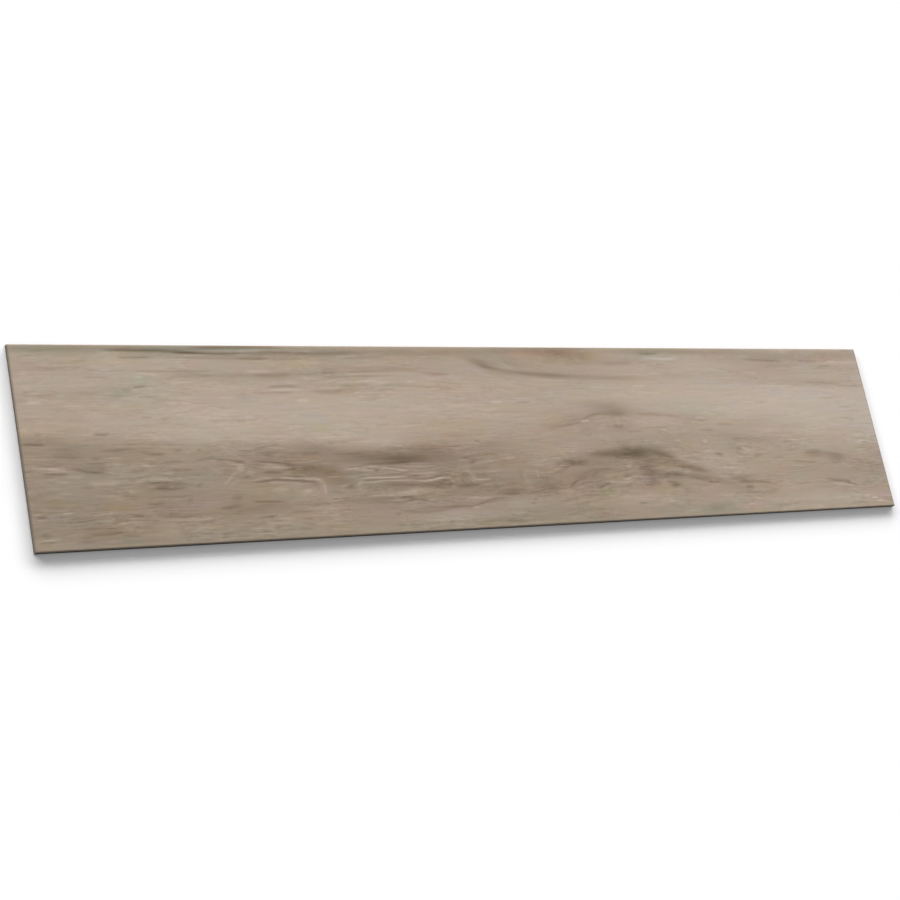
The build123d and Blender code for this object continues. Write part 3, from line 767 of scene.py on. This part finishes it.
def streak_group():
    """Streaks drawn out along the grain: noise on the flow, divided by a length and a width.
    Level swings about nought, and Tick is 1 only on its highest peaks."""
    group, given, result = new_group(
        "grain_streaks",
        {
            "Flow": ("NodeSocketVector", None),
            "Length": ("NodeSocketFloat", 30.0),
            "Width": ("NodeSocketFloat", 1.0),
            "Layer": ("NodeSocketFloat", 0.0),
            "Tick Start": ("NodeSocketFloat", 0.62),
        },
        {"Level": "NodeSocketFloat", "Tick": "NodeSocketFloat"},
    )
    size = add_node(group, "ShaderNodeCombineXYZ", {0: given["Length"], 1: given["Width"], 2: 1.0})
    divided = {0: given["Flow"], 1: size.outputs[0]}
    scaled = add_node(group, "ShaderNodeVectorMath", divided, operation="DIVIDE")
    shift = add_node(group, "ShaderNodeCombineXYZ", {2: given["Layer"]})
    moved = add_node(group, "ShaderNodeVectorMath", {0: scaled.outputs[0], 1: shift.outputs[0]})
    grain = {"Vector": moved.outputs[0], "Scale": 1.0, "Detail": 1.6, "Roughness": 0.55}
    noise = add_node(group, "ShaderNodeTexNoise", grain).outputs[0]
    past = calculate(group, "SUBTRACT", noise, given["Tick Start"])
    wire(group, result, {
        "Level": swing(group, noise),
        "Tick": calculate(group, "MULTIPLY", past, 14.0, clamp=True),
    })
    return group


def speckle_group():
    """Ground filler and press marks: fine even noise in object space, swinging about nought."""
    group, given, result = new_group(
        "filler_speckle",
        {"Scale": ("NodeSocketFloat", 900.0), "Stretch": ("NodeSocketVector", (1.0, 1.0, 1.0))},
        {"Level": "NodeSocketFloat"},
    )
    place = add_node(group, "ShaderNodeTexCoord").outputs["Object"]
    multiplied = {0: place, 1: given["Stretch"]}
    stretched = add_node(group, "ShaderNodeVectorMath", multiplied, operation="MULTIPLY")
    grit = {"Vector": stretched.outputs[0], "Scale": given["Scale"], "Detail": 3.0, "Roughness": 0.6}
    noise = add_node(group, "ShaderNodeTexNoise", grit).outputs[0]
    wire(group, result, {"Level": swing(group, noise)})
    return group


def new_material(name):
    """A material with an empty tree, its principled shader and its output."""
    material = bpy.data.materials.new(name)
    material.use_nodes = True
    tree = material.node_tree
    tree.nodes.clear()
    shader = add_node(tree, "ShaderNodeBsdfPrincipled")
    add_node(tree, "ShaderNodeOutputMaterial", {0: shader.outputs[0]})
    return material, tree, shader


# The print's own colours, from its darkest brown to its palest greige
print_ramp = [
    (0.00, linear(98, 83, 65)),
    (0.20, linear(120, 104, 86)),
    (0.45, linear(143, 127, 109)),
    (0.72, linear(165, 149, 132)),
    (1.00, linear(187, 173, 158)),
]

# How far a tint can go each way, and what its two far ends do to the linear colour
tint_reach = 1.6
tint_casts = [
    ("print_rose", (0.911, 1.034, 0.963, 1.0), (1.097, 0.967, 1.038, 1.0)),
    ("print_warm", (0.956, 1.004, 1.121, 1.0), (1.046, 0.996, 0.892, 1.0)),
]

# Streaks of the print: length and width in millimetres, the layer of noise that each is cut
# from, and the height of the noise where its ticks begin
streak_kinds = {
    "stain": (60.0, 14.0, 1.0, 0.62),
    "band": (48.0, 4.6, 2.0, 0.62),
    "mottle": (10.0, 4.5, 8.0, 0.62),
    "growth": (27.0, 1.9, 3.0, 0.62),
    "fine": (12.0, 0.95, 4.0, 0.62),
    "dark_tick": (10.0, 1.1, 5.0, 0.65),
    "pale_tick": (11.0, 1.0, 6.0, 0.65),
    "pore": (4.0, 0.34, 7.0, 0.60),
}

# How far the streaks shift the tone where the figure shows fully, and the pores anywhere
figure_shifts = [
    ("growth", "Level", 0.20),
    ("fine", "Level", 0.11),
    ("dark_tick", "Tick", -0.13),
    ("pale_tick", "Tick", 0.13),
    ("band", "Level", 0.15),
    ("mottle", "Level", 0.13),
    ("stain", "Level", 0.12),
]
pore_shift = -0.05


def print_colour(tree, streaks, tone_shift):
    """The printed wood: the drawn tone, broken up by the streaks, through the ramp, then tinted.
    Gives the colour, and the streaks by name."""
    flow = read_attribute(tree, "grain_flow", "Vector")
    streak = {}
    for name, (length, width, layer, tick_start) in streak_kinds.items():
        values = {"Flow": flow, "Length": length, "Width": width, "Layer": layer, "Tick Start": tick_start}
        streak[name] = place_group(tree, streaks, values)

    broken = 0.0
    for name, output, shift in figure_shifts:
        broken = calculate(tree, "MULTIPLY_ADD", streak[name][output], shift, broken)
    drawn = read_attribute(tree, "print_tone")
    tone = calculate(tree, "MULTIPLY_ADD", broken, read_attribute(tree, "print_figure"), drawn)
    tone = calculate(tree, "MULTIPLY_ADD", streak["pore"]["Tick"], pore_shift, tone)
    tone = calculate(tree, "ADD", tone, tone_shift)

    colour = colour_ramp(tree, tone, print_ramp)
    for name, below, above in tint_casts:
        tint = read_attribute(tree, name)
        share = calculate(tree, "MULTIPLY_ADD", tint, 0.5 / tint_reach, 0.5, clamp=True)
        cast = blend_colours(tree, share, below, above)
        colour = blend_colours(tree, 1.0, colour, cast, "MULTIPLY")
    return colour, streak


def printed_face_finish(streaks):
    """The walked-on face: the wood print under a clear satin wear layer, pressed in with fine
    streaks, pores and dark ticks."""
    material, tree, shader = new_material("printed_wood_face")
    colour, streak = print_colour(tree, streaks, 0.0)
    fine = streak["fine"]["Level"]
    groove = calculate(tree, "MULTIPLY_ADD", streak["pore"]["Tick"], -0.6, fine)
    groove = calculate(tree, "MULTIPLY_ADD", streak["dark_tick"]["Tick"], -0.8, groove)
    wire(tree, shader, {
        "Base Color": colour,
        "Roughness": calculate(tree, "MULTIPLY_ADD", fine, 0.10, 0.56),
        "Normal": press_in(tree, groove, 0.35, 0.03 * mm),
        "Specular IOR Level": 0.35,
    })
    return material


def bevel_finish(streaks):
    """The pared rim: the print carried over in a darker, flatter paint."""
    material, tree, shader = new_material("painted_micro_bevel")
    colour, streak = print_colour(tree, streaks, -0.10)
    wire(tree, shader, {
        "Base Color": blend_colours(tree, 0.35, colour, linear(114, 105, 96)),
        "Roughness": calculate(tree, "MULTIPLY_ADD", streak["fine"]["Level"], 0.08, 0.62),
        "Specular IOR Level": 0.3,
    })
    return material


def core_edge_finish(speckle, name, dark, pale):
    """A cut edge between its dark and its pale colour, with fine marks of the blade down it."""
    material, tree, shader = new_material(name)
    grit = place_group(tree, speckle, {"Scale": 1400.0})["Level"]
    blade = place_group(tree, speckle, {"Scale": 500.0, "Stretch": (1.0, 1.0, 0.06)})["Level"]
    rough = calculate(tree, "MULTIPLY_ADD", blade, 0.6, grit)
    shade = calculate(tree, "MULTIPLY_ADD", rough, 0.30, 0.5, clamp=True)
    wire(tree, shader, {
        "Base Color": blend_colours(tree, shade, dark, pale),
        "Roughness": calculate(tree, "MULTIPLY_ADD", rough, 0.08, 0.68),
        "Normal": press_in(tree, rough, 0.4, 0.05 * mm),
        "Specular IOR Level": 0.3,
    })
    return material


def backing_finish(speckle):
    """The back: plain charcoal vinyl pressed with a fine linen mark, so that glue keys to it."""
    material, tree, shader = new_material("linen_pressed_backing")
    place = add_node(tree, "ShaderNodeTexCoord").outputs["Object"]
    thread = {"Vector": place, "Scale": 210.0, "Distortion": 0.6}
    warp = add_node(tree, "ShaderNodeTexWave", thread, bands_direction="X").outputs["Fac"]
    weft = add_node(tree, "ShaderNodeTexWave", thread, bands_direction="Y").outputs["Fac"]
    linen = calculate(tree, "MAXIMUM", warp, weft)
    grit = place_group(tree, speckle, {"Scale": 700.0})["Level"]
    height = calculate(tree, "MULTIPLY_ADD", grit, 0.25, linen)
    shade = calculate(tree, "MULTIPLY", height, 0.6, clamp=True)
    wire(tree, shader, {
        "Base Color": blend_colours(tree, shade, linear(58, 55, 52), linear(92, 87, 83)),
        "Roughness": calculate(tree, "MULTIPLY_ADD", grit, 0.10, 0.70),
        "Normal": press_in(tree, height, 0.5, 0.08 * mm),
        "Specular IOR Level": 0.3,
    })
    return material


# The studio: how far the floor reaches, how much smaller than the plank the hole in it is on
# each side, and how much light it gives where it is seen
floor_reach = 40.0
hole_inset = 0.5 * mm
floor_lift = 0.06


def seen_white(tree):
    """One for a camera, glossy or transmitted ray, and nought for the light on the object."""
    path = add_node(tree, "ShaderNodeLightPath").outputs
    either = calculate(tree, "MAXIMUM", path["Is Camera Ray"], path["Is Glossy Ray"])
    return calculate(tree, "MAXIMUM", either, path["Is Transmission Ray"])


def studio_floor():
    """A wide pale floor that keeps the plank's shadow. It is cut out under the plank and cannot be
    seen from below, so that the back of the plank can."""
    outer = (floor_reach, floor_reach)
    hole = (half_length - hole_inset, half_width - hole_inset)
    turns = ((-1, -1), (1, -1), (1, 1), (-1, 1))
    corners = [(x * turn_x, y * turn_y, 0) for x, y in (outer, hole) for turn_x, turn_y in turns]
    strips = [(at, (at + 1) % 4, (at + 1) % 4 + 4, at + 4) for at in range(4)]
    mesh = bpy.data.meshes.new("studio_floor")
    mesh.from_pydata(corners, [], strips)
    floor = bpy.data.objects.new("studio_floor", mesh)
    bpy.context.scene.collection.objects.link(floor)
    material, tree, shader = new_material("pale_floor")
    wire(tree, shader, {
        "Base Color": (0.97, 0.97, 0.97, 1.0),
        "Roughness": 0.9,
        "Specular IOR Level": 0.0,
        "Emission Color": (1.0, 1.0, 1.0, 1.0),
        "Emission Strength": calculate(tree, "MULTIPLY", seen_white(tree), floor_lift),
    })
    below = add_node(tree, "ShaderNodeNewGeometry").outputs["Backfacing"]
    clear = add_node(tree, "ShaderNodeBsdfTransparent")
    seen = add_node(tree, "ShaderNodeMixShader", {0: below, 1: shader.outputs[0], 2: clear.outputs[0]})
    tree.links.new(seen.outputs[0], tree.nodes["Material Output"].inputs[0])
    mesh.materials.append(material)


# The low lamps: their share of the light on a level surface, the rest being the room, their
# height and spread, and where they stand in degrees from +Y towards +X
low_share = 0.72
lamp_elevation = math.radians(12.0)
lamp_spread = math.radians(17)
lamp_azimuths = [-46, -14, 8, 28, 54]


def studio_light():
    """A soft low strip of lamps behind the plank, kept out of reflections so that no view meets
    their glare, and an even pale room above it."""
    each = low_share * math.pi / (len(lamp_azimuths) * math.sin(lamp_elevation))
    for number, degrees in enumerate(lamp_azimuths):
        lamp = bpy.data.lights.new(f"low_lamp_{number}", "SUN")
        lamp.energy = each
        lamp.angle = lamp_spread
        turned = math.radians(degrees)
        towards = Vector((math.sin(turned), math.cos(turned), math.tan(lamp_elevation)))
        holder = bpy.data.objects.new(lamp.name, lamp)
        holder.rotation_euler = towards.to_track_quat("Z", "Y").to_euler()
        holder.location = towards * 2
        holder.visible_glossy = False
        bpy.context.scene.collection.objects.link(holder)
    world = bpy.data.worlds.new("pale_room")
    world.use_nodes = True
    tree = world.node_tree
    tree.nodes.clear()
    strength = calculate(tree, "MAXIMUM", seen_white(tree), 1 - low_share)
    room = {"Color": (1.0, 1.0, 1.0, 1.0), "Strength": strength}
    background = add_node(tree, "ShaderNodeBackground", room)
    add_node(tree, "ShaderNodeOutputWorld", {0: background.outputs[0]})
    bpy.context.scene.world = world


# The camera stands off the near left corner, looks down steeply and is rolled over, so that
# the plank lies across the picture
camera_place = Vector((-1.28371, -0.59318, 1.80179))
camera_aim = Vector((-0.0869, -0.0165, 0.005))
camera_roll = math.radians(57.426)
camera_lens = 75.744


def studio_camera():
    """A camera at its place, turned to its aim and then rolled about its line of sight."""
    data = bpy.data.cameras.new("camera")
    data.lens = camera_lens
    data.sensor_width = 36.0
    data.clip_start = 0.01
    data.clip_end = 200.0
    camera = bpy.data.objects.new("camera", data)
    sight = (camera_aim - camera_place).to_track_quat("-Z", "Y").to_matrix().to_4x4()
    camera.matrix_world = Matrix.Translation(camera_place) @ sight @ Matrix.Rotation(camera_roll, 4, "Z")
    bpy.context.scene.collection.objects.link(camera)
    bpy.context.scene.camera = camera


def build_plank():
    """The plank with its five finishes, standing in for the plain slab."""
    plank = plank_shell("printed_vinyl_plank")
    streaks = streak_group()
    speckle = speckle_group()
    for finish in (
        printed_face_finish(streaks),
        bevel_finish(streaks),
        core_edge_finish(speckle, "die_cut_core_side", linear(20, 18, 16), linear(33, 30, 28)),
        backing_finish(speckle),
        # The ends are the same dark core as the sides, painted paler: painted light, standing in for the
        # light that falls on the end
        core_edge_finish(speckle, "core_end_painted_light", linear(80, 75, 71), linear(98, 93, 88)),
    ):
        plank.data.materials.append(finish)
    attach(plank, "root")
    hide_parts("floor_tile")


build_plank()
studio_floor()
studio_light()
studio_camera()
bpy.context.scene.view_settings.view_transform = "Standard"
